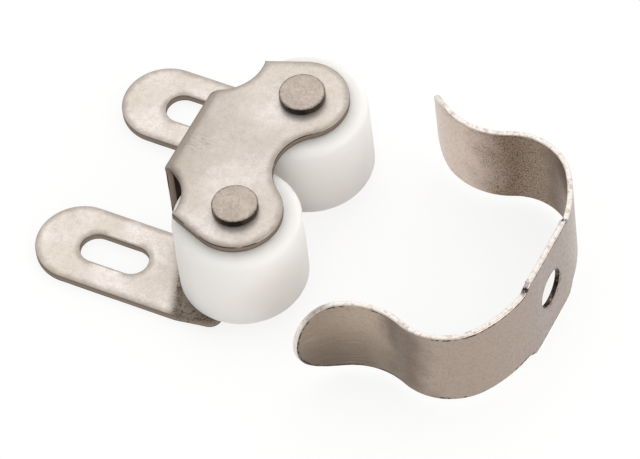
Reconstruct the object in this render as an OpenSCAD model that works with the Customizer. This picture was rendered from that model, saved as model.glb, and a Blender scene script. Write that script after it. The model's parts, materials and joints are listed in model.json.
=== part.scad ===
// Double roller catch: a folded sheet bracket with two riveted rollers, and the spring strike
// that they snap into.
// The origin lies midway between the two screw slots, on the mounting plane.
// +X runs from the ears to the strike, +Y to the left roller and +Z away from the mounting plane.

/* [Bracket sheet] */
// Thickness of the steel sheet
sheet_t = 1.1; // [0.8:0.1:1.6]
// Inside radius of the folds above and below the rear wall
fold_r = 0.6; // [0.3:0.1:1.2]
// Height of the top plate's upper face above the mounting plane
top_z = 15.5; // [13.5:0.1:17.5]
// Distance from the slot centres to the outer face of the rear wall
wall_x = 5.5; // [4.5:0.1:6.5]
// Radius of the lobe around each rivet
lobe_r = 5.75; // [4.5:0.05:6.5]
// Angle of the top plate's sides to the centre line
flank_angle = 21; // [12:1:28]
// Distance from the roller axes forward to the bottom of the front waist
waist_lead = 1.1; // [0:0.1:2.5]
// Width of the shear cut between an ear and the rear wall
shear_gap = 0.1; // [0.05:0.01:0.2]

/* [Ears] */
// Spacing of the two ears and their slots
ear_pitch = 23.6; // [22:0.1:26]
// Width of an ear
ear_w = 11.3; // [9:0.1:13]
// Distance from the slot centres to the ends of the ears
ear_reach = 10.35; // [9:0.05:11.5]
// Width of a screw slot
slot_w = 4.2; // [3:0.1:5]
// Length of a screw slot from end to end
slot_l = 9.1; // [6:0.1:10]
// Height by which the bottom plate is set up above the ears
ear_set = 1; // [0.6:0.05:1.5]
// Length of the ramp from an ear up to the bottom plate
ramp_l = 4; // [2:0.1:4.5]
// Angle between the ramp's crease and the cross axis
crease_angle = 19; // [0:1:24]
// Radius of an ear's front corner
ear_corner_r = 1.6; // [0.5:0.1:2]

/* [Rollers] */
// Outside diameter of a roller
roller_d = 15.9; // [13:0.1:17]
// Spacing of the two roller axes
roller_pitch = 18.5; // [18:0.1:21]
// Distance from the slot centres to the roller axes
roller_x = 16.9; // [16:0.1:20]
// End play between a roller and each plate
end_play = 0.15; // [0.1:0.01:0.4]
// Radial running clearance of a roller on its rivet
bore_clear = 0.05; // [0.02:0.01:0.1]
// Radius of a roller's upper and lower edge
roller_edge_r = 1; // [0.3:0.1:1.5]

/* [Rivets] */
// Diameter of a rivet's shank
shank_d = 4; // [3:0.1:4.8]
// Diameter of a rivet's head
head_d = 5.7; // [5.2:0.1:7.5]
// Height of a rivet's head above the top plate
head_h = 1.2; // [0.8:0.05:2]
// Radius of the rim of a rivet's head
head_rim_r = 0.2; // [0.1:0.05:0.4]
// Radius of the lower edge of a rivet's head
head_foot_r = 0.3; // [0.1:0.05:0.5]
// Gap between a rivet's clenched tail and the mounting plane
tail_gap = 0.1; // [0.05:0.05:0.3]

/* [Spring strike] */
// Thickness of the spring strip
strip_t = 0.7; // [0.5:0.05:1]
// Width of the strip along the arms
arm_w = 12.2; // [9:0.1:14]
// How far the screw pad stands out past each edge of the arms
pad_step = 1; // [0.3:0.1:2]
// Length of the screw pad across the back, at its full width
pad_l = 9.8; // [8:0.1:14]
// Length over which each end of the pad slopes down to the arms
pad_slope = 1.3; // [0.3:0.1:2.5]
// Diameter of the screw hole in the pad
hole_d = 5; // [3:0.1:6]
// Length of the flat in the middle of the back
back_flat = 6.4; // [6.1:0.1:8]
// Radius of the shoulder beside the flat, on the strip's middle line
shoulder_r = 17.2; // [14:0.1:20]
// Angle turned by a shoulder
shoulder_angle = 33; // [28:1:36]
// Radius of the side that holds a roller, on the strip's middle line
side_r = 7.6; // [6.5:0.1:9]
// Angle turned by a side
side_angle = 80; // [74:1:84]
// Radius of the lip at the mouth, on the strip's middle line
lip_r = 9.3; // [7.5:0.1:11]
// Angle turned back by a lip
lip_angle = 89; // [75:1:95]
// Gap along X between the rollers and the tips of the strike
strike_gap = 4.6; // [2:0.1:12]

/* [Hidden] */
$fn = 96;

nickel = [0.87, 0.84, 0.81];
nylon = [0.94, 0.93, 0.90];
rivet_steel = [0.66, 0.63, 0.60];
spring_steel = [0.70, 0.66, 0.62];

// Folds: outer radius, and the line where the rear folds run into the plates
fold_ro = fold_r + sheet_t;
fold_x = wall_x + fold_ro;

// The ears are sheared from the rear wall, so the wall fills the room between them
ear_in = (ear_pitch - ear_w) / 2;
wall_half = ear_in - shear_gap;

// In the flat blank the ends of the ears lie in the top plate, and leave its two notches.
// The blank is measured along the middle of the sheet, from the bottom fold to the notch.
fold_run = (fold_r + sheet_t / 2) * PI / 2;
blank_run = top_z - ear_set - 2 * fold_ro + 2 * fold_run;
ear_run = fold_x + ear_reach + norm([ramp_l, ear_set]) - ramp_l;
notch_r = ear_w / 2 + shear_gap;
notch_x = fold_x + ear_run - blank_run - notch_r;

// Places on the rollers' axes and the plates that hold them
axis_y = roller_pitch / 2;
seat_z = ear_set + sheet_t;
ceiling_z = top_z - sheet_t;

// A side of the top plate meets its lobe here, on a tangent
flank_x = roller_x - lobe_r * sin(flank_angle);
flank_y = axis_y + lobe_r * cos(flank_angle);

// The front waist is one arc that touches both lobes
waist_k = lobe_r - roller_x - waist_lead;
waist_x = (roller_x ^ 2 + axis_y ^ 2 - waist_k ^ 2) / (2 * (roller_x + waist_k));
waist_r = waist_x - roller_x - waist_lead;
waist_touch = [roller_x, axis_y] + lobe_r * unit([waist_x - roller_x, -axis_y]);

// The ramp's crease starts where the rear wall's fold ends, at the wall's side
ramp_end_x = fold_x + ramp_l / cos(crease_angle);

// Headings along one arm of the strike: 0 runs along the back, 90 straight towards the bracket
side_start = shoulder_angle;
lip_start = side_start + side_angle;
tip_heading = lip_start - lip_angle;

// Centres of the arm's three arcs, from the middle of the back's outer face, for the arm on the -Y side
shoulder_c = [-strip_t / 2 - shoulder_r, -back_flat / 2];
side_c = shoulder_c + (shoulder_r - side_r) * out(side_start);
lip_c = side_c + (side_r + lip_r) * out(lip_start);
tip = lip_c - lip_r * out(tip_heading);

// The tip is rounded as seen square on to the middle of its last half width
round_heading = tip_heading + arm_w / 4 / lip_r * 180 / PI;
round_shift = (tip - lip_c) * along(round_heading) - arm_w / 2;

// Width of the screw pad from edge to edge
pad_w = arm_w + 2 * pad_step;

// The outer face of the strike's back
back_x = roller_x + roller_d / 2 + strike_gap - tip.x;

// The part's whole length, which reaches past its edges wherever something is cut
reach = ear_reach + back_x;

function unit(v) = v / norm(v);

// Outward normal and direction of travel of the strike's arm at a heading
function out(h) = [cos(h), -sin(h)];
function along(h) = [-sin(h), -cos(h)];

// Points on an arc about c from one angle to another
function arc(c, r, from, to, steps) =
    [for (i = [0 : steps]) let (a = from + (to - from) * i / steps) c + r * [cos(a), sin(a)]];

// One face of the strike's arm, offset outward from the middle line, from the back to the tip
function arm_face(offset) = concat(
    [shoulder_c + [shoulder_r + offset, back_flat / 2]],
    arc(shoulder_c, shoulder_r + offset, 0, -side_start, 12),
    arc(side_c, side_r + offset, -side_start, -lip_start, 28),
    arc(lip_c, lip_r - offset, 180 - lip_start, 180 - tip_heading, 32)
);

function reversed(list) = [for (i = [len(list) - 1 : -1 : 0]) list[i]];

// Extrudes a side view, drawn in X and Z, across the part
module across(width) {
    rotate([90, 0, 0]) linear_extrude(width, center = true) children();
}

module both_sides() {
    children();
    mirror([0, 1, 0]) children();
}

// The quarter ring of a fold, in the side view, rising or falling to the rear wall
module fold_section() {
    intersection() {
        difference() {
            circle(fold_ro);
            circle(fold_r);
        }
        translate([-fold_ro, 0]) square(fold_ro);
    }
}

// Both lobes and the plate between them, from a rear edge forward to the waist
module lobed_plate(rear) {
    difference() {
        union() {
            polygon(concat(rear, [
                [roller_x, axis_y], waist_touch, [waist_touch.x, -waist_touch.y], [roller_x, -axis_y]
            ]));
            both_sides() translate([roller_x, axis_y]) circle(lobe_r);
        }
        translate([waist_x, 0]) circle(waist_r);
    }
}

// The top plate's outline, with the notches that the ears leave in the blank
module top_outline() {
    rear_y = flank_y - (flank_x - wall_x) * tan(flank_angle);
    difference() {
        lobed_plate([[flank_x, -flank_y], [wall_x, -rear_y], [wall_x, rear_y], [flank_x, flank_y]]);
        both_sides() translate([notch_x, ear_pitch / 2]) circle(notch_r);
    }
}

// One ear with its slot, round at the rear and with one rounded corner at the front
module ear_outline() {
    end_x = ear_w / 2 - ear_reach;
    slot_c = (slot_l - slot_w) / 2;
    translate([0, ear_pitch / 2]) difference() {
        union() {
            translate([end_x, 0]) circle(ear_w / 2);
            translate([end_x, -ear_w / 2]) square([roller_x - end_x, ear_w]);
        }
        for (x = [-slot_c, slot_c]) translate([x, 0]) circle(slot_w / 2);
        translate([-slot_c, -slot_w / 2]) square([2 * slot_c, slot_w]);
        translate([roller_x - ear_corner_r, ear_w / 2 - ear_corner_r]) difference() {
            square(reach);
            circle(ear_corner_r);
        }
    }
}

// The bottom plate's outline with both ears
module bottom_outline() {
    lobed_plate([[fold_x, -axis_y], [fold_x, axis_y]]);
    both_sides() ear_outline();
}

// The sheet of one side, which climbs from the ear to the bottom plate over a slanted crease
module ramped_sheet() {
    mitre = sheet_t * tan(atan2(ear_set, ramp_l) / 2);
    translate([fold_x, ear_in, 0]) rotate([0, 0, -crease_angle]) across(2 * reach) polygon([
        [-reach, 0], [0, 0], [ramp_l, ear_set], [reach, ear_set],
        [reach, seat_z], [ramp_l - mitre, seat_z], [-mitre, sheet_t], [-reach, sheet_t]
    ]);
}

// The folded sheet: top plate, rear wall, bottom plate and two ears in one piece
module bracket() {
    color(nickel) difference() {
        union() {
            intersection() {
                across(2 * reach) {
                    translate([fold_x, ceiling_z]) square([reach, sheet_t]);
                    translate([fold_x, top_z - fold_ro]) fold_section();
                }
                linear_extrude(reach) top_outline();
            }
            translate([wall_x, -wall_half, ear_set + fold_ro])
                cube([sheet_t, 2 * wall_half, top_z - ear_set - 2 * fold_ro]);
            across(2 * wall_half) translate([fold_x, ear_set + fold_ro]) mirror([0, 1]) fold_section();
            translate([0, 0, ear_set]) linear_extrude(sheet_t) intersection() {
                bottom_outline();
                union() {
                    translate([fold_x, -wall_half]) square([reach, 2 * wall_half]);
                    translate([ramp_end_x, -ear_in]) square([reach, 2 * ear_in]);
                }
            }
            both_sides() intersection() {
                ramped_sheet();
                linear_extrude(reach) intersection() {
                    bottom_outline();
                    translate([-reach, ear_in]) square([2 * reach, reach]);
                }
            }
        }
        both_sides() translate([roller_x, axis_y, 0]) cylinder(h = reach, d = shank_d);
    }
}

// One nylon roller about its own axis, between the plates
module roller() {
    bore_r = shank_d / 2 + bore_clear;
    low = seat_z + end_play;
    high = ceiling_z - end_play;
    rim = roller_d / 2;
    rotate_extrude() polygon(concat(
        [[bore_r, low]],
        arc([rim - roller_edge_r, low + roller_edge_r], roller_edge_r, -90, 0, 6),
        arc([rim - roller_edge_r, high - roller_edge_r], roller_edge_r, 0, 90, 6),
        [[bore_r, high]]
    ));
}

// One rivet about its own axis: a flat head on the top plate, and a clenched tail under the bottom plate
module rivet() {
    head_r = head_d / 2;
    crown = top_z + head_h;
    rotate_extrude() polygon(concat(
        [[0, tail_gap]],
        arc([head_r - head_rim_r, tail_gap + head_rim_r], head_rim_r, -90, 0, 4),
        [[head_r, ear_set], [shank_d / 2, ear_set], [shank_d / 2, top_z]],
        arc([head_r - head_foot_r, top_z + head_foot_r], head_foot_r, -90, 0, 4),
        arc([head_r - head_rim_r, crown - head_rim_r], head_rim_r, 0, 90, 4),
        [[0, crown]]
    ));
}

module left_roller() {
    color(nylon) translate([roller_x, axis_y, 0]) roller();
}

module right_roller() {
    color(nylon) translate([roller_x, -axis_y, 0]) roller();
}

module left_rivet() {
    color(rivet_steel) translate([roller_x, axis_y, 0]) rivet();
}

module right_rivet() {
    color(rivet_steel) translate([roller_x, -axis_y, 0]) rivet();
}

// The strip's edge view, from one tip round the back to the other
module strip_outline() {
    both_sides() polygon(concat(arm_face(strip_t / 2), reversed(arm_face(-strip_t / 2))));
}

// The screw pad as seen from the back, in Y and Z, with ends that slope down to the arms
module pad_outline() {
    end = pad_l / 2;
    polygon([
        [-end, 0], [end, 0], [end + pad_slope, pad_step], [end + pad_slope, pad_step + arm_w],
        [end, pad_w], [-end, pad_w], [-end - pad_slope, pad_step + arm_w], [-end - pad_slope, pad_step]
    ]);
}

// What is cut away to round the end of the arm on the -Y side
module tip_waste() {
    translate(lip_c) rotate([0, 0, -round_heading]) translate([0, -round_shift, arm_w / 2])
        difference() {
            translate([-2 * lip_r, -arm_w, -arm_w]) cube([4 * lip_r, arm_w, 2 * arm_w]);
            rotate([0, 90, 0]) cylinder(h = 6 * lip_r, d = arm_w, center = true);
        }
}

// The bent spring strip: round-ended arms, and a wider pad with a screw hole in the back
module spring_strike() {
    color(spring_steel) translate([back_x, 0, 0]) difference() {
        union() {
            translate([0, 0, pad_step]) difference() {
                linear_extrude(arm_w) strip_outline();
                both_sides() tip_waste();
            }
            intersection() {
                linear_extrude(pad_w) strip_outline();
                rotate([90, 0, 90]) linear_extrude(reach / 2, center = true) pad_outline();
            }
        }
        translate([0, 0, pad_step + arm_w / 2]) rotate([0, 90, 0])
            cylinder(h = 4 * strip_t, d = hole_d, center = true);
    }
}

bracket();
left_roller();
right_roller();
left_rivet();
right_rivet();
spring_strike();
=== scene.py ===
import json
import bmesh
import bpy
import numpy as np
from mathutils import Matrix, Vector
from mathutils.geometry import delaunay_2d_cdt


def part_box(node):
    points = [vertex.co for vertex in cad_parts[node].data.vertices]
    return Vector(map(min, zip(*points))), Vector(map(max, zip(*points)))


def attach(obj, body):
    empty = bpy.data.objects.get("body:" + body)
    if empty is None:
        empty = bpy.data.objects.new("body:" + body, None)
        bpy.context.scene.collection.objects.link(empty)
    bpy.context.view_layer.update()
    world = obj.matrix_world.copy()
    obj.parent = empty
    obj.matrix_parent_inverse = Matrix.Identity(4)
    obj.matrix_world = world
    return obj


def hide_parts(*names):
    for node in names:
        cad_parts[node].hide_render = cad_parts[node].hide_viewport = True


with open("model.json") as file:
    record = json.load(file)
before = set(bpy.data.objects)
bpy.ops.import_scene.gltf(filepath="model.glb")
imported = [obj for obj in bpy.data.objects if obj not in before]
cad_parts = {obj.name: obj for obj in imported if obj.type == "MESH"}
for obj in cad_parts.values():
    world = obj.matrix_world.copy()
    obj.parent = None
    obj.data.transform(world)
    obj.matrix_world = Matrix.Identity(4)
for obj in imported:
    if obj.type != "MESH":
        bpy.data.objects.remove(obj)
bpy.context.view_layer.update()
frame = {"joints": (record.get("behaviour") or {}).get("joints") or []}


# The bracket is one blank of nickel-plated steel sheet, punched flat and folded up twice.
# The ears stay behind as the rear wall is folded up between them, so the notches in the top
# plate are the shear lines of the ears' ends. Punching rolls over the outer face's edges.
MM = 0.001
sheet_t = 1.1 * MM
fold_r = 0.6 * MM
lobe_r = 5.75 * MM
flank_angle = np.radians(21)
waist_lead = 1.1 * MM
shear_gap = 0.1 * MM
ear_pitch = 23.6 * MM
ear_w = 11.3 * MM
slot_w = 4.2 * MM
slot_l = 9.1 * MM
ear_set = 1.0 * MM
ramp_l = 4.0 * MM
crease_angle = np.radians(19)
crease_soft = 0.4 * MM
ear_corner_r = 1.6 * MM
wall_x = 5.5 * MM
shank_r = 2.0 * MM
roll_w, roll_d = 0.26 * MM, 0.2 * MM
burr_r = 0.12 * MM
band_w = 0.15 * MM
scratch_place = (8.1 * MM, -2.0 * MM, 15.5 * MM)
outline_step = 0.22 * MM
face_step = 0.6 * MM

bracket_low, bracket_high = (np.array(corner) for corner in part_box("bracket"))
top_z = bracket_high[2]
ear_reach = -bracket_low[0]
roller_x, axis_y = (abs(c) for c in frame["joints"][0]["pos_m"][:2])

fold_ro = fold_r + sheet_t
fold_x = wall_x + fold_ro
ear_y = ear_pitch / 2
ear_in = ear_y - ear_w / 2
wall_half = ear_in - shear_gap
fold_mid = fold_r + sheet_t / 2
fold_run = fold_mid * np.pi / 2
wall_run = top_z - ear_set - 2 * fold_ro
top_run = 2 * fold_run + wall_run
ear_end = fold_x + ear_reach - ear_w / 2
notch_r = ear_w / 2 + shear_gap
notch_u = fold_x + ear_reach + np.hypot(ramp_l, ear_set) - ramp_l - notch_r
axle_top_u = top_run + roller_x - fold_x
axle_low_u = fold_x - roller_x

waist_k = lobe_r - roller_x - waist_lead
waist_x = (roller_x ** 2 + axis_y ** 2 - waist_k ** 2) / (2 * (roller_x + waist_k))
waist_r = waist_x - roller_x - waist_lead
waist_turn = np.arctan2(axis_y, waist_x - roller_x)


def arc(centre, radius, start, end):
    """Points c + r (cos a, sin a), with a in even steps from start to end."""
    steps = max(3, int(np.ceil(abs(end - start) * radius / outline_step)))
    a = np.linspace(start, end, steps + 1)
    return np.array(centre) + radius * np.stack([np.cos(a), np.sin(a)], axis=1)


def line(a, b):
    """Points in even steps on the straight line from a to b, both ends included."""
    steps = max(1, int(np.ceil(np.hypot(*np.subtract(b, a)) / outline_step)))
    return np.array(a) + np.linspace(0, 1, steps + 1)[:, None] * np.subtract(b, a)


def joined(*runs):
    """One run of points from several, without the points that repeat where two of them meet."""
    points = np.concatenate(runs)
    fresh = np.hypot(*(points - np.roll(points, 1, axis=0)).T) > 1e-3 * MM
    return points[fresh]


def blank_half():
    """The blank's outline on the +Y side as (u, y), with u the run along the sheet from the lower fold.
    It goes from the top plate's waist round its lobe, down the wall, round the ear, to the lower waist."""
    top_lobe = arc((axle_top_u, axis_y), lobe_r, -waist_turn, np.pi / 2 + flank_angle)
    touch = top_lobe[-1]
    along = -np.array([np.cos(flank_angle), np.sin(flank_angle)])
    gap = touch - (notch_u, ear_y)
    ahead = -gap @ along - np.sqrt((gap @ along) ** 2 - gap @ gap + notch_r ** 2)
    spike = touch + ahead * along
    spike_turn = np.arctan2(spike[1] - ear_y, spike[0] - notch_u)
    slit_u = -ramp_l / np.cos(crease_angle)
    corner_u = axle_low_u + ear_corner_r
    corner_y = ear_y + ear_w / 2 - ear_corner_r
    return joined(
        arc((axle_top_u + waist_x - roller_x, 0), waist_r, np.pi, np.pi - waist_turn),
        top_lobe,
        line(touch, spike),
        arc((notch_u, ear_y), notch_r, spike_turn, -np.pi / 2),
        line((notch_u, wall_half), (slit_u, wall_half)),
        line((slit_u, ear_in), (ear_end, ear_in)),
        arc((ear_end, ear_y), ear_w / 2, -np.pi / 2, np.pi / 2),
        line((ear_end, ear_y + ear_w / 2), (corner_u, ear_y + ear_w / 2)),
        arc((corner_u, corner_y), ear_corner_r, np.pi / 2, np.pi),
        line((axle_low_u, corner_y), (axle_low_u, axis_y + lobe_r)),
        arc((axle_low_u, axis_y), lobe_r, np.pi / 2, np.pi + waist_turn),
        arc((axle_low_u + roller_x - waist_x, 0), waist_r, waist_turn, 0),
    )


def blank_loops():
    """Closed outlines of the blank: its edge, then the slots and the rivet holes on both sides."""
    half = blank_half()
    loops = [joined(half, (half * (1, -1))[::-1])]
    slot_c = (slot_l - slot_w) / 2
    slot = joined(
        arc((fold_x + slot_c, ear_y), slot_w / 2, -np.pi / 2, np.pi / 2),
        arc((fold_x - slot_c, ear_y), slot_w / 2, np.pi / 2, 1.5 * np.pi),
    )
    holes = [arc((u, axis_y), shank_r, 0, 2 * np.pi)[:-1] for u in (axle_top_u, axle_low_u)]
    for hole in [slot, *holes]:
        loops += [hole, hole * (1, -1)]
    return loops


def inward(loop, into):
    """For each point of a closed loop, the step into the sheet that moves both its sides by one unit.
    It is (n0 + n1) / (1 + n0 . n1), with n0 and n1 the normals of the two sides that meet there."""
    side = np.roll(loop, -1, axis=0) - loop
    side /= np.hypot(*side.T)[:, None]
    area = np.sum(loop[:, 0] * np.roll(loop[:, 1], -1) - loop[:, 1] * np.roll(loop[:, 0], -1))
    turn = into * np.sign(area)
    after = turn * np.stack([-side[:, 1], side[:, 0]], axis=1)
    before = np.roll(after, 1, axis=0)
    return (before + after) / np.maximum(1 + np.sum(before * after, axis=1), 0.3)[:, None]


def corner_room(loop, into):
    """How far each point may move into the sheet: its distance along the edge to the nearest sharp tip."""
    side = np.roll(loop, -1, axis=0) - loop
    length = np.hypot(*side.T)
    unit = side / length[:, None]
    back = np.roll(unit, 1, axis=0)
    turn = np.arctan2(back[:, 0] * unit[:, 1] - back[:, 1] * unit[:, 0], np.sum(back * unit, axis=1))
    tips = np.nonzero(into * np.sign(turn.sum()) * turn > np.radians(35))[0]
    if len(tips) == 0:
        return np.full(len(loop), np.inf)
    run = np.concatenate([[0], np.cumsum(length)[:-1]])
    apart = np.abs(run[:, None] - run[tips])
    return np.minimum(apart, length.sum() - apart).min(axis=1)


def fold_up(u, y, depth):
    """Where a point of the blank ends up. Depth is measured from the outer face.
    Wall and top plate follow the middle line: a quarter circle, a straight, and a quarter circle.
    Ears and bottom plate stay level, and step down over a slanted ramp that is soft at its ends."""
    outer = sheet_t / 2 - depth
    first = np.clip(u / fold_mid, 0, np.pi / 2)
    second = np.clip((u - fold_run - wall_run) / fold_mid, 0, np.pi / 2)
    turn = first + second
    x = fold_x - fold_mid * np.sin(first) + fold_mid * (1 - np.cos(second))
    z = ear_set + sheet_t / 2 + fold_mid * (1 - np.cos(first)) + fold_mid * np.sin(second)
    x += np.maximum(u - top_run, 0) - np.minimum(u, 0)
    z += np.clip(u - fold_run, 0, wall_run)
    folded = np.stack([x - outer * np.sin(turn), y, z - outer * np.cos(turn)], axis=-1)

    flat_x = fold_x - u
    climb = (flat_x - fold_x) * np.cos(crease_angle) - (np.abs(y) - ear_in) * np.sin(crease_angle)

    def soft(q):
        """The larger of q and 0, with the corner at 0 rounded off: half of q + sqrt(q^2 + c^2)."""
        return (q + np.hypot(q, crease_soft)) / 2

    rise = ear_set * (soft(climb) - soft(climb - ramp_l)) / ramp_l
    level = np.stack([flat_x, y, np.where(np.abs(y) > wall_half, rise, ear_set) + depth], axis=-1)

    beside = np.abs(y) > ear_in - shear_gap / 2
    in_end = np.hypot(u - ear_end, np.abs(y) - ear_y) < (ear_w + shear_gap) / 2
    in_ear = beside & ((u < ear_end) | in_end)
    return np.where(((u < 0) | in_ear)[..., None], level, folded)


def inside(points, loops):
    """Even-odd test: a ray from a point in the sheet crosses the outlines an odd number of times."""
    crossings = np.zeros(len(points), int)
    px, py = points.T
    for loop in loops:
        (ax, ay), (bx, by) = loop.T[:, :, None], np.roll(loop, -1, axis=0).T[:, :, None]
        spans = (ay > py) != (by > py)
        with np.errstate(divide="ignore", invalid="ignore"):
            crossings += np.sum(spans & (px < ax + (py - ay) * (bx - ax) / (by - ay)), axis=0)
    return crossings % 2 == 1


def quads(rows, columns):
    """Corner numbers of the faces of a grid whose last column meets its first."""
    row, column = np.meshgrid(np.arange(rows - 1), np.arange(columns), indexing="ij")
    following = (column + 1) % columns
    here, above = row * columns, (row + 1) * columns
    corners = [here + column, here + following, above + following, above + column]
    return np.stack(corners, axis=-1).reshape(-1, 4)


def made(name, points, faces, marks=None, weld=1e-7):
    """A smooth mesh object from arrays. Marks are numbers for each point, for its material to read."""
    mesh = bpy.data.meshes.new(name)
    mesh.from_pydata(points.tolist(), [], [list(map(int, f)) for f in faces])
    for mark, values in (marks or {}).items():
        mesh.attributes.new(mark, "FLOAT", "POINT").data.foreach_set("value", values.astype(np.float32))
    shape = bmesh.new()
    shape.from_mesh(mesh)
    bmesh.ops.remove_doubles(shape, verts=shape.verts, dist=weld)
    bmesh.ops.recalc_face_normals(shape, faces=shape.faces)
    for face in shape.faces:
        face.smooth = True
    shape.to_mesh(mesh)
    shape.free()
    piece = bpy.data.objects.new(name, mesh)
    bpy.context.scene.collection.objects.link(piece)
    return piece


def rim_section(thickness, roll, burr):
    """The edge of a punched sheet as (inset, depth) points: an ellipse rolled over from the outer face,
    the cut wall, and a small round at the inner face, with a narrow flat band at either end."""
    a = np.linspace(0, np.pi / 2, 6)
    inset = [[roll[0] + band_w], roll[0] * (1 - np.sin(a)), burr * (1 - np.cos(a)), [burr + band_w]]
    depth = [[0], roll[1] * (1 - np.cos(a)), thickness - burr * (1 - np.sin(a)), [thickness]]
    return np.concatenate(inset), np.concatenate(depth)


def filled(loops, rows, step):
    """Triangles that fill flat outlines. Their corners are the outlines' own points, and those points
    of a grid that lie at least half a step inside."""
    border = np.concatenate(loops)
    columns = np.arange(border[:, 1].min(), border[:, 1].max(), step)
    grid = np.stack(np.meshgrid(rows, columns, indexing="ij"), axis=-1).reshape(-1, 2)
    grid = grid[inside(grid, loops)]
    room = np.min(np.hypot(grid[:, :1] - border[:, 0], grid[:, 1:] - border[:, 1]), axis=1)
    spots = np.concatenate([border, grid[room > step / 2]])
    ends = np.cumsum([len(loop) for loop in loops])
    runs = [np.arange(end - len(loop), end) for loop, end in zip(loops, ends)]
    sides = np.concatenate([np.stack([run, np.roll(run, -1)], axis=1) for run in runs])
    found, _, triangles, *_ = delaunay_2d_cdt([Vector(p) for p in spots / MM], sides.tolist(), [], 0, 1e-6)
    spots = np.array([tuple(p) for p in found]) * MM
    triangles = np.array(triangles)
    return spots, triangles[inside(spots[triangles].mean(axis=1), loops)]


def pressed(loops, section, rows, form):
    """The skin of a punched and bent sheet. The edge's section is carried along each outline, both faces
    are filled with triangles, and form takes every point of the flat sheet, with its depth, to its place."""
    inset, depth = section
    outline = np.concatenate(loops)
    rims, parts, faces = [], [], []
    for k, loop in enumerate(loops):
        into = 1 if k == 0 else -1
        room = np.linspace(0.9, 0.5, len(inset))[:, None] * corner_room(loop, into)
        rims.append(loop + np.minimum(inset[:, None], room)[..., None] * inward(loop, into))
        parts.append((rims[-1].reshape(-1, 2), np.repeat(depth, len(loop))))
        faces.append(quads(len(inset), len(loop)))
    for ring, deep in ((0, 0.0), (-1, depth[-1])):
        spots, triangles = filled([rim[ring] for rim in rims], rows, face_step)
        parts.append((spots, np.full(len(spots), deep)))
        faces.append(triangles)
    starts = np.cumsum([0] + [len(deep) for _, deep in parts[:-1]])
    faces = [face for batch, start in zip(faces, starts) for face in batch + start]
    flat = np.concatenate([spots for spots, _ in parts])
    deep = np.concatenate([deep for _, deep in parts])
    edge = np.concatenate([
        np.min(np.hypot(some[:, :1] - outline[:, 0], some[:, 1:] - outline[:, 1]), axis=1)
        for some in np.array_split(flat, 8)
    ])
    marks = {
        "depth": deep / depth[-1],
        "edge": edge / MM,
        "along": flat[:, 0] / MM,
        "across": flat[:, 1] / MM,
    }
    return form(flat[:, 0], flat[:, 1], deep), faces, marks


def shader(name):
    """A new material's node tree and its main shader."""
    material = bpy.data.materials.new(name)
    material.use_nodes = True
    return material, material.node_tree, material.node_tree.nodes["Principled BSDF"]


def node(tree, kind, sources=None, **values):
    """One node. Sources links or sets its input sockets, by name or number, and values its properties."""
    new = tree.nodes.new("ShaderNode" + kind)
    for key, value in values.items():
        setattr(new, key, value)
    for key, value in (sources or {}).items():
        if isinstance(value, bpy.types.NodeSocket):
            tree.links.new(value, new.inputs[key])
        else:
            new.inputs[key].default_value = value
    return new


def noise(tree, at, size, detail=3.0, rough=0.55):
    """Noise whose lumps are about this size, in metres, at places given by a vector socket."""
    sources = {"Vector": at, "Scale": 1 / size, "Detail": detail, "Roughness": rough}
    return node(tree, "TexNoise", sources).outputs["Fac"]


def ramp(tree, value, low, high, start=0.0, end=1.0):
    """Maps a number smoothly from between low and high to between start and end."""
    sources = {"Value": value, "From Min": low, "From Max": high, "To Min": start, "To Max": end}
    return node(tree, "MapRange", sources, interpolation_type="SMOOTHSTEP").outputs["Result"]


def blend(tree, share, a, b):
    """Colour a where share is 0, and colour b where it is 1."""
    mix = node(tree, "Mix", data_type="RGBA")
    for socket, value in ((mix.inputs[0], share), (mix.inputs[6], a), (mix.inputs[7], b)):
        if isinstance(value, bpy.types.NodeSocket):
            tree.links.new(value, socket)
        elif isinstance(value, tuple):
            socket.default_value = (*value, 1.0)
        else:
            socket.default_value = value
    return mix.outputs[2]


def mark(tree, name):
    """A number that the mesh holds for each of its points."""
    return node(tree, "Attribute", attribute_name=name).outputs["Fac"]


def times(tree, a, b):
    """The product of two numbers."""
    return node(tree, "Math", {0: a, 1: b}, operation="MULTIPLY").outputs[0]


def band(tree, value, rise, fall, most=1.0):
    """A share that grows from 0 to most between the two numbers of rise, and goes back to 0 between those
    of fall."""
    return times(tree, ramp(tree, value, *rise), ramp(tree, value, *fall, most, 0.0))


def shaken(tree, value, at, size, by, detail=3.0):
    """A number plus noise, whose lumps are about this size, and which shifts it by this much at most."""
    shift = ramp(tree, noise(tree, at, size, detail), 0.3, 0.7, -by, by)
    return node(tree, "Math", {0: value, 1: shift}).outputs[0]


def distance(tree, at, spot):
    """How far each place lies from one spot."""
    return node(tree, "VectorMath", {0: at, 1: spot}, operation="DISTANCE").outputs["Value"]


def grained(tree, surface, height, strength, deep):
    """Roughens a surface by heights from 0 to 1 that stand for this depth in metres."""
    bump = node(tree, "Bump", {"Height": height, "Strength": strength, "Distance": deep})
    tree.links.new(bump.outputs["Normal"], surface.inputs["Normal"])


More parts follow.
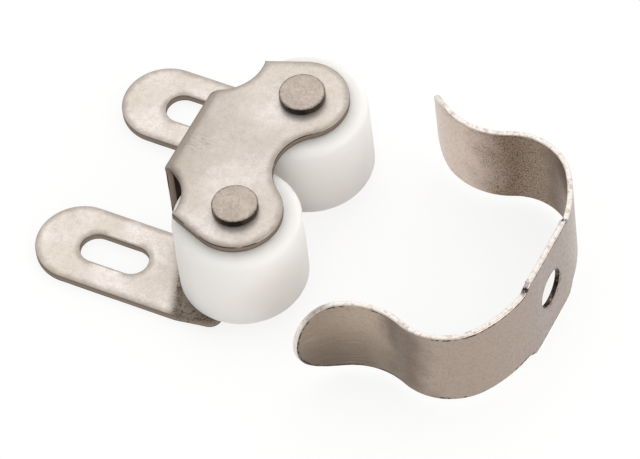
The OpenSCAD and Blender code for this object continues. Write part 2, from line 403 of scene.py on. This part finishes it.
nickel_grey = (0.785, 0.71, 0.645)
nickel_pale = (0.935, 0.87, 0.835)
mottle_brown = (0.52, 0.445, 0.375)
grain_brown = (0.60, 0.52, 0.44)
speck_brown = (0.34, 0.29, 0.24)
plate_reflection_grey = (0.42, 0.365, 0.32)
fold_side_shade_brown = (0.34, 0.285, 0.24)
scratch_brown = (0.26, 0.22, 0.18)
edge_wear_and_shade_brown = (0.24, 0.20, 0.16)
fold_shade_brown = (0.30, 0.255, 0.21)
ramp_shade_brown = (0.21, 0.165, 0.125)
scuff_black = (0.09, 0.07, 0.054)
inside_shade_brown = (0.10, 0.082, 0.065)
cut_upper = (0.28, 0.23, 0.19)
cut_lower = (0.21, 0.17, 0.135)
pit_black = (0.05, 0.04, 0.03)
edge_shade_black = (0.04, 0.032, 0.025)
cloud_size = 8 * MM
dust_size = 3 * MM
mottle_size = 0.9 * MM
grain_size = 0.2 * MM
speck_size = 0.18 * MM
scratch_size = 0.14 * MM
scratch_core, scratch_reach = 0.6 * MM, 2.4 * MM
ragged_size = 1.4 * MM
scuff_size, scuff_gap = 0.6 * MM, 1.2 * MM
pit_size = 0.3 * MM
edge_shade_gap_size = 5 * MM
sheen_core_r, sheen_fade_r = 3 * MM, 9 * MM
fold_side_shade_l = 4 * MM
grain_deep = 0.04 * MM


def sheet_nickel():
    """Satin nickel: warm grey, cloudy, mottled and finely specked. The top plate has a painted reflection: it
    is greyer than the ears, with a painted sheen palest round its rivets and toward +Y. Edges are brown
    partly from wear and partly from a painted dark reflection on their rolled rim, with a broken painted
    shade line beside the cut wall. The folds, the ears' ramps beyond the creases and the inside carry painted
    shade. The creases are scuffed and pitted, and the cut walls torn."""
    material, tree, metal = shader("sheet_nickel")
    at = node(tree, "TexCoord").outputs["Object"]
    depth, edge, along = (mark(tree, name) for name in ("depth", "edge", "along"))
    wall, crease = (mark(tree, name) for name in ("wall", "crease"))

    cloud = ramp(tree, noise(tree, at, cloud_size, 2.0), 0.35, 0.65)
    mottle = ramp(tree, noise(tree, at, mottle_size, 5.0, 0.7), 0.40, 0.66, 0.0, 0.26)
    fine = ramp(tree, noise(tree, at, grain_size), 0.35, 0.65)
    dust = ramp(tree, noise(tree, at, dust_size, 2.0), 0.4, 0.7)
    speck = times(tree, ramp(tree, noise(tree, at, speck_size, 1.0), 0.60, 0.68), dust)
    colour = blend(tree, cloud, nickel_grey, nickel_pale)
    colour = blend(tree, mottle, colour, mottle_brown)
    colour = blend(tree, ramp(tree, fine, 0.0, 1.0, 0.0, 0.16), colour, grain_brown)
    colour = blend(tree, ramp(tree, speck, 0.0, 1.0, 0.0, 0.5), colour, speck_brown)

    place = node(tree, "SeparateXYZ", {0: at}).outputs
    # Painted reflection: the top plate is painted greyer than the ears, with a painted sheen palest round the
    # rivets and toward +Y.
    raised = ramp(tree, place["Z"], top_z - fold_ro, top_z - fold_r)
    one_side = node(tree, "VectorMath", {0: at}, operation="ABSOLUTE").outputs["Vector"]
    from_axle = distance(tree, one_side, (roller_x, axis_y, top_z))
    tone = ramp(tree, from_axle, sheen_core_r, sheen_fade_r, 0.20, 0.42)
    tone = times(tree, tone, ramp(tree, place["Y"], 0.0, axis_y, 1.0, 0.6))
    colour = blend(tree, times(tree, raised, tone), colour, plate_reflection_grey)
    # Painted shade: the top plate darkens toward the rear fold.
    fold_side_shade = ramp(tree, place["X"], fold_x, fold_x + fold_side_shade_l, 0.28, 0.0)
    colour = blend(tree, times(tree, raised, fold_side_shade), colour, fold_side_shade_brown)

    lengthwise = node(tree, "Mapping", {"Vector": at, "Scale": (0.12, 1.0, 1.0)}).outputs["Vector"]
    scratch = ramp(tree, noise(tree, lengthwise, scratch_size, 2.0), 0.50, 0.62)
    beside = ramp(tree, distance(tree, at, scratch_place), scratch_core, scratch_reach, 0.5, 0.0)
    colour = blend(tree, times(tree, scratch, beside), colour, scratch_brown)

    # Edges are darkened partly by wear and partly as a painted dark reflection on their rolled rim.
    ragged = shaken(tree, edge, at, ragged_size, 0.12)
    colour = blend(tree, ramp(tree, ragged, 0.05, 1.05, 0.58, 0.0), colour, edge_wear_and_shade_brown)
    # Painted shade on the rear wall, strongest at its upper fold.
    bend_from, bend_to = (top_run - fold_run) / MM, top_run / MM
    folded = ramp(tree, along, bend_from + 0.4, bend_to + 0.6, 0.85, 0.0)
    folded = times(tree, folded, ramp(tree, along, bend_from - 4.0, bend_from, 0.3, 1.0))
    colour = blend(tree, times(tree, folded, wall), colour, fold_shade_brown)
    # Painted shade on each ear's ramp beyond its crease.
    colour = blend(tree, ramp(tree, crease, -1.4, 0.4, 0.0, 0.88), colour, ramp_shade_brown)
    scuff = band(tree, shaken(tree, crease, at, scuff_size, 0.2, 2.0), (-0.5, 0.1), (0.15, 1.1), 0.8)
    scuff = times(tree, scuff, ramp(tree, noise(tree, at, scuff_gap, 4.0), 0.4, 0.6, 0.35, 1.0))
    colour = blend(tree, scuff, colour, scuff_black)
    # Painted shade on the inner face of the rear wall and top plate.
    inside_shade = ramp(tree, depth, 0.9, 0.99, 0.0, 0.9)
    colour = blend(tree, times(tree, inside_shade, wall), colour, inside_shade_brown)

    torn = blend(tree, ramp(tree, depth, 0.45, 0.9), cut_upper, cut_lower)
    colour = blend(tree, band(tree, depth, (0.12, 0.2), (0.93, 0.99)), colour, torn)
    pitted = ramp(tree, noise(tree, at, pit_size, 2.0), 0.52, 0.62, 0.0, 0.7)
    pitted = times(tree, pitted, ramp(tree, crease, -0.6, 0.4))
    colour = blend(tree, pitted, colour, pit_black)
    # Painted shade: a broken dark line on the rolled edge, next to the cut wall.
    edge_shade_line = ramp(tree, noise(tree, at, edge_shade_gap_size), 0.46, 0.56)
    edge_shade_line = times(tree, edge_shade_line, band(tree, depth, (0.06, 0.12), (0.2, 0.3)))
    colour = blend(tree, edge_shade_line, colour, edge_shade_black)

    tree.links.new(colour, metal.inputs["Base Color"])
    tree.links.new(ramp(tree, fine, 0.0, 1.0, 0.38, 0.48), metal.inputs["Roughness"])
    metal.inputs["Metallic"].default_value = 0.7
    metal.inputs["Specular Tint"].default_value = (0.45, 0.42, 0.39, 1.0)
    grained(tree, metal, noise(tree, at, grain_size), 0.09, grain_deep)
    return material


loops = blank_loops()
fold_rows = np.concatenate([
    np.arange(loops[0][:, 0].min(), loops[0][:, 0].max(), face_step),
    np.linspace(0, fold_run, 10),
    top_run - np.linspace(0, fold_run, 10),
])
edge_section = rim_section(sheet_t, (roll_w, roll_d), burr_r)
places, faces, marks = pressed(loops, edge_section, np.unique(fold_rows), fold_up)
beyond = np.abs(marks["across"]) - ear_in / MM
climb = -marks["along"] * np.cos(crease_angle) - beyond * np.sin(crease_angle)
marks["crease"] = np.where(beyond > 0, climb, -9.0)
marks["wall"] = 1.0 * ((marks["along"] > axle_low_u / MM) & (beyond < 0))
bracket = made("folded_bracket", places, faces, marks)
bracket.data.materials.append(sheet_nickel())
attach(bracket, "catch")
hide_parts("bracket")


# The rollers are turned from natural nylon rod, which is milky and lets a little light through.
# Each runs loose on its rivet between the two plates.
roller_edge = 1.0 * MM
bore_clear = 0.05 * MM
nylon_white = (0.94, 0.90, 0.868)
nylon_pale = (0.952, 0.918, 0.892)
milk_deep = 5.0 * MM
milk_cloud = 6 * MM
lathe_patch, lathe_mark = 1.5 * MM, 2.0 * MM
lathe_deep = 0.05 * MM


def turned(axis, profile, turns=144, wobble=0.0):
    """A profile of (radius, height) carried round an upright axis: x + r cos t, y + r sin t, h.
    Wobble makes the radius wave a little, as on a rim that was hammered."""
    t = np.arange(turns) * 2 * np.pi / turns
    wave = 1 + wobble * (np.sin(3 * t + 0.6) + 0.6 * np.sin(7 * t + 2.0) + 0.4 * np.sin(17 * t))
    r, h = profile.T[:, :, None]
    return np.stack([axis[0] + r * wave * np.cos(t), axis[1] + r * wave * np.sin(t), h + 0 * t], axis=-1)


def quarter(centre, radius, start, steps=8):
    """A quarter circle of (radius, height) points about a centre, anticlockwise from an angle in degrees."""
    a = np.radians(start) + np.linspace(0, np.pi / 2, steps + 1)
    return np.array(centre) + radius * np.stack([np.cos(a), np.sin(a)], axis=1)


def nylon():
    """Natural nylon: milky white that light passes into, faintly cloudy, with fine marks from the lathe."""
    material, tree, plastic = shader("natural_nylon")
    at = node(tree, "TexCoord").outputs["Object"]
    cloud = ramp(tree, noise(tree, at, milk_cloud), 0.3, 0.7)
    smooth = ramp(tree, noise(tree, at, lathe_patch), 0.3, 0.7, 0.38, 0.5)
    tree.links.new(blend(tree, cloud, nylon_white, nylon_pale), plastic.inputs["Base Color"])
    tree.links.new(smooth, plastic.inputs["Roughness"])
    plastic.inputs["Subsurface Weight"].default_value = 1.0
    plastic.inputs["Subsurface Radius"].default_value = (1.0, 0.95, 0.9)
    plastic.inputs["Subsurface Scale"].default_value = milk_deep
    plastic.inputs["IOR"].default_value = 1.53
    stretched = node(tree, "Mapping", {"Vector": at, "Scale": (1.0, 1.0, 9.0)}).outputs["Vector"]
    grained(tree, plastic, noise(tree, stretched, lathe_mark), 0.08, lathe_deep)
    return material


def roller_profile(low, high):
    """The section of a roller: from its bore out along the bottom, up its side and back along the top."""
    rim = (high[1] - low[1]) / 2
    bore = shank_r + bore_clear
    foot, head = low[2], high[2]
    return np.concatenate([
        [(bore, foot + burr_r), (bore + burr_r, foot), (rim - 2 * roller_edge, foot)],
        quarter((rim - roller_edge, foot + roller_edge), roller_edge, -90),
        [(rim, (foot + head) / 2)],
        quarter((rim - roller_edge, head - roller_edge), roller_edge, 0),
        [(rim - 2 * roller_edge, head), (bore + burr_r, head)],
        [(bore, head - burr_r), (bore, foot + burr_r)],
    ])


nylon_material = nylon()
for joint in frame["joints"]:
    side = joint["child"]
    section = roller_profile(*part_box(side))
    skin = turned(joint["pos_m"], section)
    roller = made(side + "_nylon", skin.reshape(-1, 3), quads(*skin.shape[:2]))
    roller.data.materials.append(nylon_material)
    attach(roller, side)
    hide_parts(side)


# The rivets are the rollers' axles: a flat head on the top plate, a plain shank, and a tail that is clenched
# under the bottom plate. They are steel, plated dull. A dark shade line is painted round the head's rim, and
# painted shade makes every part that does not face up nearly black.
head_r = 2.85 * MM
head_edge = 0.14 * MM
head_foot = 0.3 * MM
head_crown = 0.06 * MM
head_wobble = 0.004
rivet_grey = (0.44, 0.375, 0.325)
rivet_pale = (0.50, 0.43, 0.375)
rivet_grain = (0.36, 0.30, 0.25)
rivet_speck = (0.20, 0.165, 0.135)
rivet_rim_shade = (0.13, 0.105, 0.083)
side_shade_black = (0.02, 0.016, 0.013)
side_shade_brown = (0.06, 0.05, 0.042)
rivet_cloud_size = 2.5 * MM
rivet_grain_size = 0.3 * MM
rivet_speck_size = 0.15 * MM
side_shade_size = 0.4 * MM


def rivet_profile(low, high):
    """The section of a rivet: from the middle of its tail, up the shank, and over its crowned head."""
    foot, crown = low[2], high[2]
    return np.concatenate([
        [(0, foot), (head_r - 2 * head_edge, foot)],
        quarter((head_r - head_edge, foot + head_edge), head_edge, -90),
        [(head_r, ear_set), (shank_r, ear_set), (shank_r, top_z)],
        quarter((head_r - head_foot, top_z + head_foot), head_foot, -90),
        quarter((head_r - head_edge, crown - head_crown - head_edge), head_edge, 0),
        [(0.6 * head_r, crown - 0.4 * head_crown), (0.3 * head_r, crown - 0.1 * head_crown), (0, crown)],
    ])


def rivet_steel():
    """Dull plated steel, brownish grey and finely specked on top, with a painted shade line darker at the
    rim, and painted shade nearly black wherever the surface does not face up. The mark rim is a point's
    distance from the axis as a share of the head's radius."""
    material, tree, metal = shader("rivet_steel")
    coordinates = node(tree, "TexCoord")
    at = coordinates.outputs["Object"]
    cloud = ramp(tree, noise(tree, at, rivet_cloud_size, 2.0), 0.35, 0.65)
    fine = ramp(tree, noise(tree, at, rivet_grain_size), 0.35, 0.65)
    speck = ramp(tree, noise(tree, at, rivet_speck_size, 1.0), 0.62, 0.70)
    colour = blend(tree, cloud, rivet_grey, rivet_pale)
    colour = blend(tree, ramp(tree, fine, 0.0, 1.0, 0.0, 0.3), colour, rivet_grain)
    colour = blend(tree, ramp(tree, speck, 0.0, 1.0, 0.0, 0.35), colour, rivet_speck)
    # Painted shade: a dark line round the head's rim.
    uneven = ramp(tree, fine, 0.0, 1.0, -0.012, 0.012)
    rim = node(tree, "Math", {0: mark(tree, "rim"), 1: uneven}).outputs[0]
    colour = blend(tree, ramp(tree, rim, 0.88, 0.99, 0.0, 0.65), colour, rivet_rim_shade)
    # Painted shade: every part of the rivet that does not face up is painted nearly black.
    up = node(tree, "SeparateXYZ", {0: coordinates.outputs["Normal"]}).outputs["Z"]
    on_top = ramp(tree, shaken(tree, up, at, side_shade_size, 0.2), 0.45, 0.75)
    side_shade = blend(tree, cloud, side_shade_black, side_shade_brown)
    tree.links.new(blend(tree, on_top, side_shade, colour), metal.inputs["Base Color"])
    tree.links.new(ramp(tree, fine, 0.0, 1.0, 0.32, 0.44), metal.inputs["Roughness"])
    metal.inputs["Metallic"].default_value = 1.0
    grained(tree, metal, noise(tree, at, grain_size), 0.2, grain_deep)
    return material


rivet_material = rivet_steel()
for side in ("left_rivet", "right_rivet"):
    low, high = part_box(side)
    axis = (low + high) / 2
    skin = turned(axis, rivet_profile(low, high), wobble=head_wobble)
    rim = np.hypot(*(skin[..., :2] - axis[:2]).reshape(-1, 2).T) / head_r
    rivet = made(side + "_steel", skin.reshape(-1, 3), quads(*skin.shape[:2]), {"rim": rim})
    rivet.data.materials.append(rivet_material)
    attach(rivet, "catch")
    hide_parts(side)


# The strike is a strip of spring steel with round ends and a wider pad in the middle, punched with one screw
# hole and bent through three arcs a side. Its plating is brownish, with bright worn edges, and the studio
# mirrored in it is painted into that plating as soft tones along the strip.
strip_t = 0.7 * MM
arm_half = 6.1 * MM
pad_step = 1.0 * MM
pad_half_l = 4.9 * MM
pad_slope = 1.3 * MM
hole_r = 2.5 * MM
back_half = 3.2 * MM
shoulder_r, shoulder_angle = 17.2 * MM, np.radians(33)
side_r, side_angle = 7.6 * MM, np.radians(80)
lip_r, lip_angle = 9.3 * MM, np.radians(89)
strip_roll = 0.15 * MM
strip_burr = 0.12 * MM
strike_low, strike_high = (np.array(corner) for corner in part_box("spring_strike"))
back_x = strike_high[0]
strip_mid_z = (strike_low[2] + strike_high[2]) / 2
side_start = back_half + shoulder_r * shoulder_angle
lip_start = side_start + side_r * side_angle
arm_l = lip_start + lip_r * lip_angle


def strike_loops():
    """Closed outlines of the flat strip, its edge and its hole, as (s, w), with s the run from its middle."""
    round_s = arm_l - arm_half
    pad_half = arm_half + pad_step
    quarter_edge = joined(
        line((0, pad_half), (pad_half_l, pad_half)),
        line((pad_half_l, pad_half), (pad_half_l + pad_slope, arm_half)),
        line((pad_half_l + pad_slope, arm_half), (round_s, arm_half)),
        arc((round_s, 0), arm_half, np.pi / 2, 0),
    )
    half = joined(quarter_edge, (quarter_edge * (1, -1))[::-1])
    return [joined(half, (half * (-1, 1))[::-1]), arc((0, 0), hole_r, 0, 2 * np.pi)[:-1]]


def bend_strip(s, w, depth):
    """Where a point of the flat strip ends up. The heading turns at a steady rate along each arc, and the
    middle line lies on three circles that follow on from one another. Depth is measured from the outside."""
    run = np.abs(s)
    heading = (np.clip(run - back_half, 0, shoulder_r * shoulder_angle) / shoulder_r
               + np.clip(run - side_start, 0, side_r * side_angle) / side_r
               - np.maximum(run - lip_start, 0) / lip_r)

    def out(h):
        """The way out of the strip at heading h: (cos h, -sin h)."""
        return np.stack([np.cos(h), -np.sin(h)], axis=-1)

    shoulder_c = np.array([-strip_t / 2 - shoulder_r, -back_half])
    side_c = shoulder_c + (shoulder_r - side_r) * out(shoulder_angle)
    lip_c = side_c + (side_r + lip_r) * out(shoulder_angle + side_angle)
    facing = out(heading)
    flat = np.stack([np.full_like(run, -strip_t / 2), -run], axis=-1)
    place = np.where((run < back_half)[..., None], flat, shoulder_c + shoulder_r * facing)
    place = np.where((run > side_start)[..., None], side_c + side_r * facing, place)
    place = np.where((run > lip_start)[..., None], lip_c - lip_r * facing, place)
    place = place + facing * (strip_t / 2 - depth)[..., None]
    return np.stack([back_x + place[..., 0], np.sign(s) * place[..., 1], strip_mid_z + w], axis=-1)


# Painted reflection along each arm: tones that stand for the studio mirrored in the plating, with the
# millimetres from the middle between which one goes over into the next.
pad_reflection_tone = (0.375, 0.309, 0.269)
outer_reflection_tones = [
    (4.0, 10.0, (0.415, 0.333, 0.28)),
    (18.0, 23.5, (0.165, 0.12, 0.086)),
    (24.0, 28.5, (0.43, 0.345, 0.27)),
    (28.5, 35.0, (0.32, 0.25, 0.19)),
]
hollow_reflection_tone = (0.16, 0.10, 0.064)
inner_reflection_tones = [
    (17.0, 20.5, (0.31, 0.23, 0.17)),
    (20.5, 23.5, (0.25, 0.178, 0.128)),
    (23.5, 30.5, (0.62, 0.505, 0.43)),
]
lip_shade = (0.09, 0.066, 0.048)
strip_grain = (0.16, 0.125, 0.095)
patch_speck = (0.06, 0.043, 0.032)
streak_pale = (0.62, 0.54, 0.47)
strip_burr_black = (0.04, 0.03, 0.022)
strip_edge_bright, strip_edge_pit = (0.76, 0.70, 0.655), (0.40, 0.33, 0.28)
hole_step_black = (0.055, 0.042, 0.031)
tone_drift_size = 4 * MM
strip_grain_size = 0.35 * MM
patch_speck_size = 0.17 * MM
streak_size = 0.2 * MM
burr_gap_size, burr_torn_size = 4 * MM, 0.45 * MM
edge_pit_size = 0.7 * MM
hole_step_noise_size = 0.5 * MM
streak_deep = 0.05 * MM


def spring_nickel():
    """Brownish nickel on spring steel, with a painted reflection in soft tones along the strip. Inside each
    arm is a specked patch, and the lips have fine streaks and painted shade that darkens them downwards. The
    edges are worn bright, with dull pits, beside a broken dark burr, and the hole's wall and the pad's step
    corners are painted nearly black."""
    material, tree, metal = shader("spring_nickel")
    at = node(tree, "TexCoord").outputs["Object"]
    depth, edge, along, hole, step = (mark(tree, name) for name in ("depth", "edge", "along", "hole", "step"))
    across = mark(tree, "across")
    # Painted reflection: tones along the strip stand for the studio mirrored in it.
    run = node(tree, "Math", {0: along}, operation="ABSOLUTE").outputs[0]
    run = shaken(tree, run, at, tone_drift_size, 0.8)
    outside, within = pad_reflection_tone, hollow_reflection_tone
    for start, end, tone in outer_reflection_tones:
        outside = blend(tree, ramp(tree, run, start, end), outside, tone)
    # Painted shade: the lips darken toward their lower edge.
    low = times(tree, ramp(tree, run, 24.0, 29.0), ramp(tree, across, -5.5, 4.5, 0.72, 0.0))
    outside = blend(tree, low, outside, lip_shade)
    for start, end, tone in inner_reflection_tones:
        within = blend(tree, ramp(tree, run, start, end), within, tone)
    colour = blend(tree, ramp(tree, depth, 0.4, 0.6), outside, within)

    fine = ramp(tree, noise(tree, at, strip_grain_size), 0.4, 0.7)
    colour = blend(tree, ramp(tree, fine, 0.0, 1.0, 0.0, 0.14), colour, strip_grain)
    patch = times(tree, band(tree, run, (14.0, 22.0), (23.0, 31.0)), ramp(tree, depth, 0.5, 0.9))
    speck = times(tree, ramp(tree, noise(tree, at, patch_speck_size, 2.0), 0.46, 0.62), patch)
    colour = blend(tree, ramp(tree, speck, 0.0, 1.0, 0.0, 0.8), colour, patch_speck)
    streaked = node(tree, "Mapping", {"Vector": at, "Scale": (0.06, 0.06, 1.0)}).outputs["Vector"]
    streak = ramp(tree, noise(tree, streaked, streak_size), 0.5, 0.75)
    worn = times(tree, streak, ramp(tree, run, 26.0, 32.0, 0.04, 0.2))
    colour = blend(tree, worn, colour, streak_pale)

    broken = ramp(tree, noise(tree, at, burr_gap_size, 4.0), 0.48, 0.54)
    broken = times(tree, broken, ramp(tree, depth, 0.3, 0.6, 1.0, 0.0))
    torn = ramp(tree, noise(tree, at, burr_torn_size), 0.45, 0.53, 0.1, 1.0)
    torn = times(tree, torn, ramp(tree, broken, 0.0, 1.0, 0.1, 1.0))
    burr = times(tree, torn, band(tree, edge, (0.1, 0.16), (0.3, 0.5)))
    colour = blend(tree, burr, colour, strip_burr_black)
    bright = times(tree, ramp(tree, edge, 0.06, 0.14, 1.0, 0.0), ramp(tree, fine, 0.0, 1.0, 1.0, 0.93))
    bright = times(tree, bright, ramp(tree, hole, 0.5, 1.0))
    pits = ramp(tree, noise(tree, at, edge_pit_size, 4.0), 0.49, 0.64, 0.0, 0.5)
    worn_edge = blend(tree, pits, strip_edge_bright, strip_edge_pit)
    colour = blend(tree, bright, colour, worn_edge)
    # The hole's wall and the pad's step corners are painted nearly black.
    in_hole = ramp(tree, hole, 0.0, 0.08, 1.0, 0.0)
    at_step = ramp(tree, step, 0.2, 0.6, 1.0, 0.0)
    hole_step_dark = node(tree, "Math", {0: in_hole, 1: at_step}, operation="MAXIMUM").outputs[0]
    hole_step_dark = times(tree, hole_step_dark, ramp(tree, noise(tree, at, hole_step_noise_size, 4.0), 0.45, 0.52, 0.25, 1.0))
    colour = blend(tree, hole_step_dark, colour, hole_step_black)

    tree.links.new(colour, metal.inputs["Base Color"])
    tree.links.new(ramp(tree, fine, 0.0, 1.0, 0.28, 0.40), metal.inputs["Roughness"])
    metal.inputs["Metallic"].default_value = 1.0
    grained(tree, metal, streak, 0.05, streak_deep)
    return material


strip_section = rim_section(strip_t, (strip_roll, strip_roll), strip_burr)
strip_rows = np.arange(-arm_l, arm_l, face_step)
places, faces, marks = pressed(strike_loops(), strip_section, strip_rows, bend_strip)
marks["hole"] = np.hypot(marks["along"], marks["across"]) - hole_r / MM
past_step_s = np.abs(marks["along"]) - (pad_half_l + 0.6 * pad_slope) / MM
past_step_w = np.abs(marks["across"]) - (arm_half + 0.4 * pad_step) / MM
marks["step"] = np.hypot(past_step_s, past_step_w)
strike = made("bent_strike", places, faces, marks)
strike.data.materials.append(spring_nickel())
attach(strike, "catch")
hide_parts("spring_strike")


# The floor is a wide, plain sheet of white paper, on which the ears and the strike's edge lie.
# The camera and bare metal see it white, with the object's shadow left on it, and to all other
# light it is pale paper, which throws some of that light back up.
floor_half = 3.0
floor_drop = 0.05 * MM
paper_colour = (0.94, 0.92, 0.90, 1.0)
shade_colour = (0.20, 0.20, 0.20, 1.0)
white = (1.0, 1.0, 1.0, 1.0)
paper_glow = 0.83

floor_mesh = bpy.data.meshes.new("floor")
corners = floor_half * np.array([(-1, -1, 0), (1, -1, 0), (1, 1, 0), (-1, 1, 0)])
floor_mesh.from_pydata(corners.tolist(), [], [(0, 1, 2, 3)])
floor = bpy.data.objects.new("floor", floor_mesh)
floor.location.z = -floor_drop
bpy.context.scene.collection.objects.link(floor)
paper = bpy.data.materials.new("floor_paper")
paper.use_nodes = True
tree = paper.node_tree
tree.nodes.clear()
path = node(tree, "LightPath").outputs
mirrored = node(tree, "Math", {0: path["Is Glossy Ray"], 1: path["Is Transmission Ray"]}).outputs[0]
seen = node(tree, "Math", {0: path["Is Camera Ray"], 1: mirrored}, use_clamp=True).outputs[0]
plain = node(tree, "BsdfDiffuse", {"Color": paper_colour}).outputs[0]
shaded = node(tree, "BsdfDiffuse", {"Color": shade_colour}).outputs[0]
glow = node(tree, "Emission", {"Color": white, "Strength": paper_glow}).outputs[0]
lit = node(tree, "AddShader", {0: shaded, 1: glow}).outputs[0]
mixed = node(tree, "MixShader", {0: seen, 1: plain, 2: lit}).outputs[0]
tree.links.new(mixed, node(tree, "OutputMaterial").inputs["Surface"])
floor_mesh.materials.append(paper)


# Soft studio light, as in a white tent. The surround is brightest low down beyond the strike, pale
# low down on the other sides and dimmer overhead, so that folds and rims mirror pale and dark bands.
# One wide lamp above the far side lights the plates.
near_dim, near_bright, near_top = (0.50, 0.49, 0.47), (2.7, 2.62, 2.55), (0.74, 0.73, 0.715)
far_low, far_top = (1.3, 1.29, 1.27), (0.55, 0.55, 0.55)
ears_low, ears_top = (1.25, 1.225, 1.2), (0.5, 0.49, 0.48)
lamp_size = 0.5
lamp_energy = 0.5
lamp_place = (-0.15, 0.30, 0.62)
lamp_aim = (0.02, 0.0, 0.0)

world = bpy.context.scene.world or bpy.data.worlds.new("studio")
bpy.context.scene.world = world
world.use_nodes = True
tree = world.node_tree
tree.nodes.clear()
way = node(tree, "SeparateXYZ", {0: node(tree, "TexCoord").outputs["Generated"]}).outputs
near = blend(tree, ramp(tree, way["X"], 0.4, 0.9), near_dim, near_bright)
near = blend(tree, ramp(tree, way["Z"], 0.35, 0.75), near, near_top)
far = blend(tree, ramp(tree, way["Z"], 0.5, 0.95), far_low, far_top)
sides = blend(tree, ramp(tree, way["Y"], 0.0, 0.5), near, far)
ears = blend(tree, ramp(tree, way["Z"], 0.1, 0.5), ears_low, ears_top)
sky = blend(tree, ramp(tree, way["X"], -0.85, -0.35), ears, sides)
surround = node(tree, "Background", {"Color": sky, "Strength": 1.0}).outputs[0]
tree.links.new(surround, node(tree, "OutputWorld").inputs["Surface"])

lamp_data = bpy.data.lights.new("overhead_softbox", "AREA")
lamp_data.shape = "RECTANGLE"
lamp_data.size, lamp_data.size_y = lamp_size, lamp_size
lamp_data.energy = lamp_energy
lamp = bpy.data.objects.new("overhead_softbox", lamp_data)
lamp.location = lamp_place
lamp.rotation_euler = (Vector(lamp_aim) - lamp.location).to_track_quat("-Z", "Y").to_euler()
bpy.context.scene.collection.objects.link(lamp)


# The camera looks down on the catch from far off, over the near roller and the strike's near arm,
# and is rolled a little. Its lens is long, so near and far pieces keep about the same scale.
azimuth, elevation, roll = np.radians((32.0, 52.4, 7.6))
aim = np.array([21.4, 2.0, 0.0]) * MM
distance_away = 739.0 * MM
focal_px, photo_w = 6000.0, 640
nearest_seen = 0.05

flat_x, flat_y = -np.sin(azimuth), np.cos(azimuth)
forward = np.array([np.cos(elevation) * flat_x, np.cos(elevation) * flat_y, -np.sin(elevation)])
level = np.array([flat_y, -flat_x, 0.0])
right = np.cos(roll) * level + np.sin(roll) * np.cross(forward, level)
down = np.cross(forward, right)
camera_data = bpy.data.cameras.new("camera")
camera_data.sensor_width = 36.0
camera_data.lens = camera_data.sensor_width * focal_px / photo_w
camera_data.clip_start = nearest_seen
camera = bpy.data.objects.new("camera", camera_data)
turn = Matrix(np.stack([right, -down, -forward], axis=1).tolist()).to_4x4()
camera.matrix_world = Matrix.Translation(aim - distance_away * forward) @ turn
bpy.context.scene.collection.objects.link(camera)
bpy.context.scene.camera = camera

bpy.context.scene.view_settings.view_transform = "Standard"
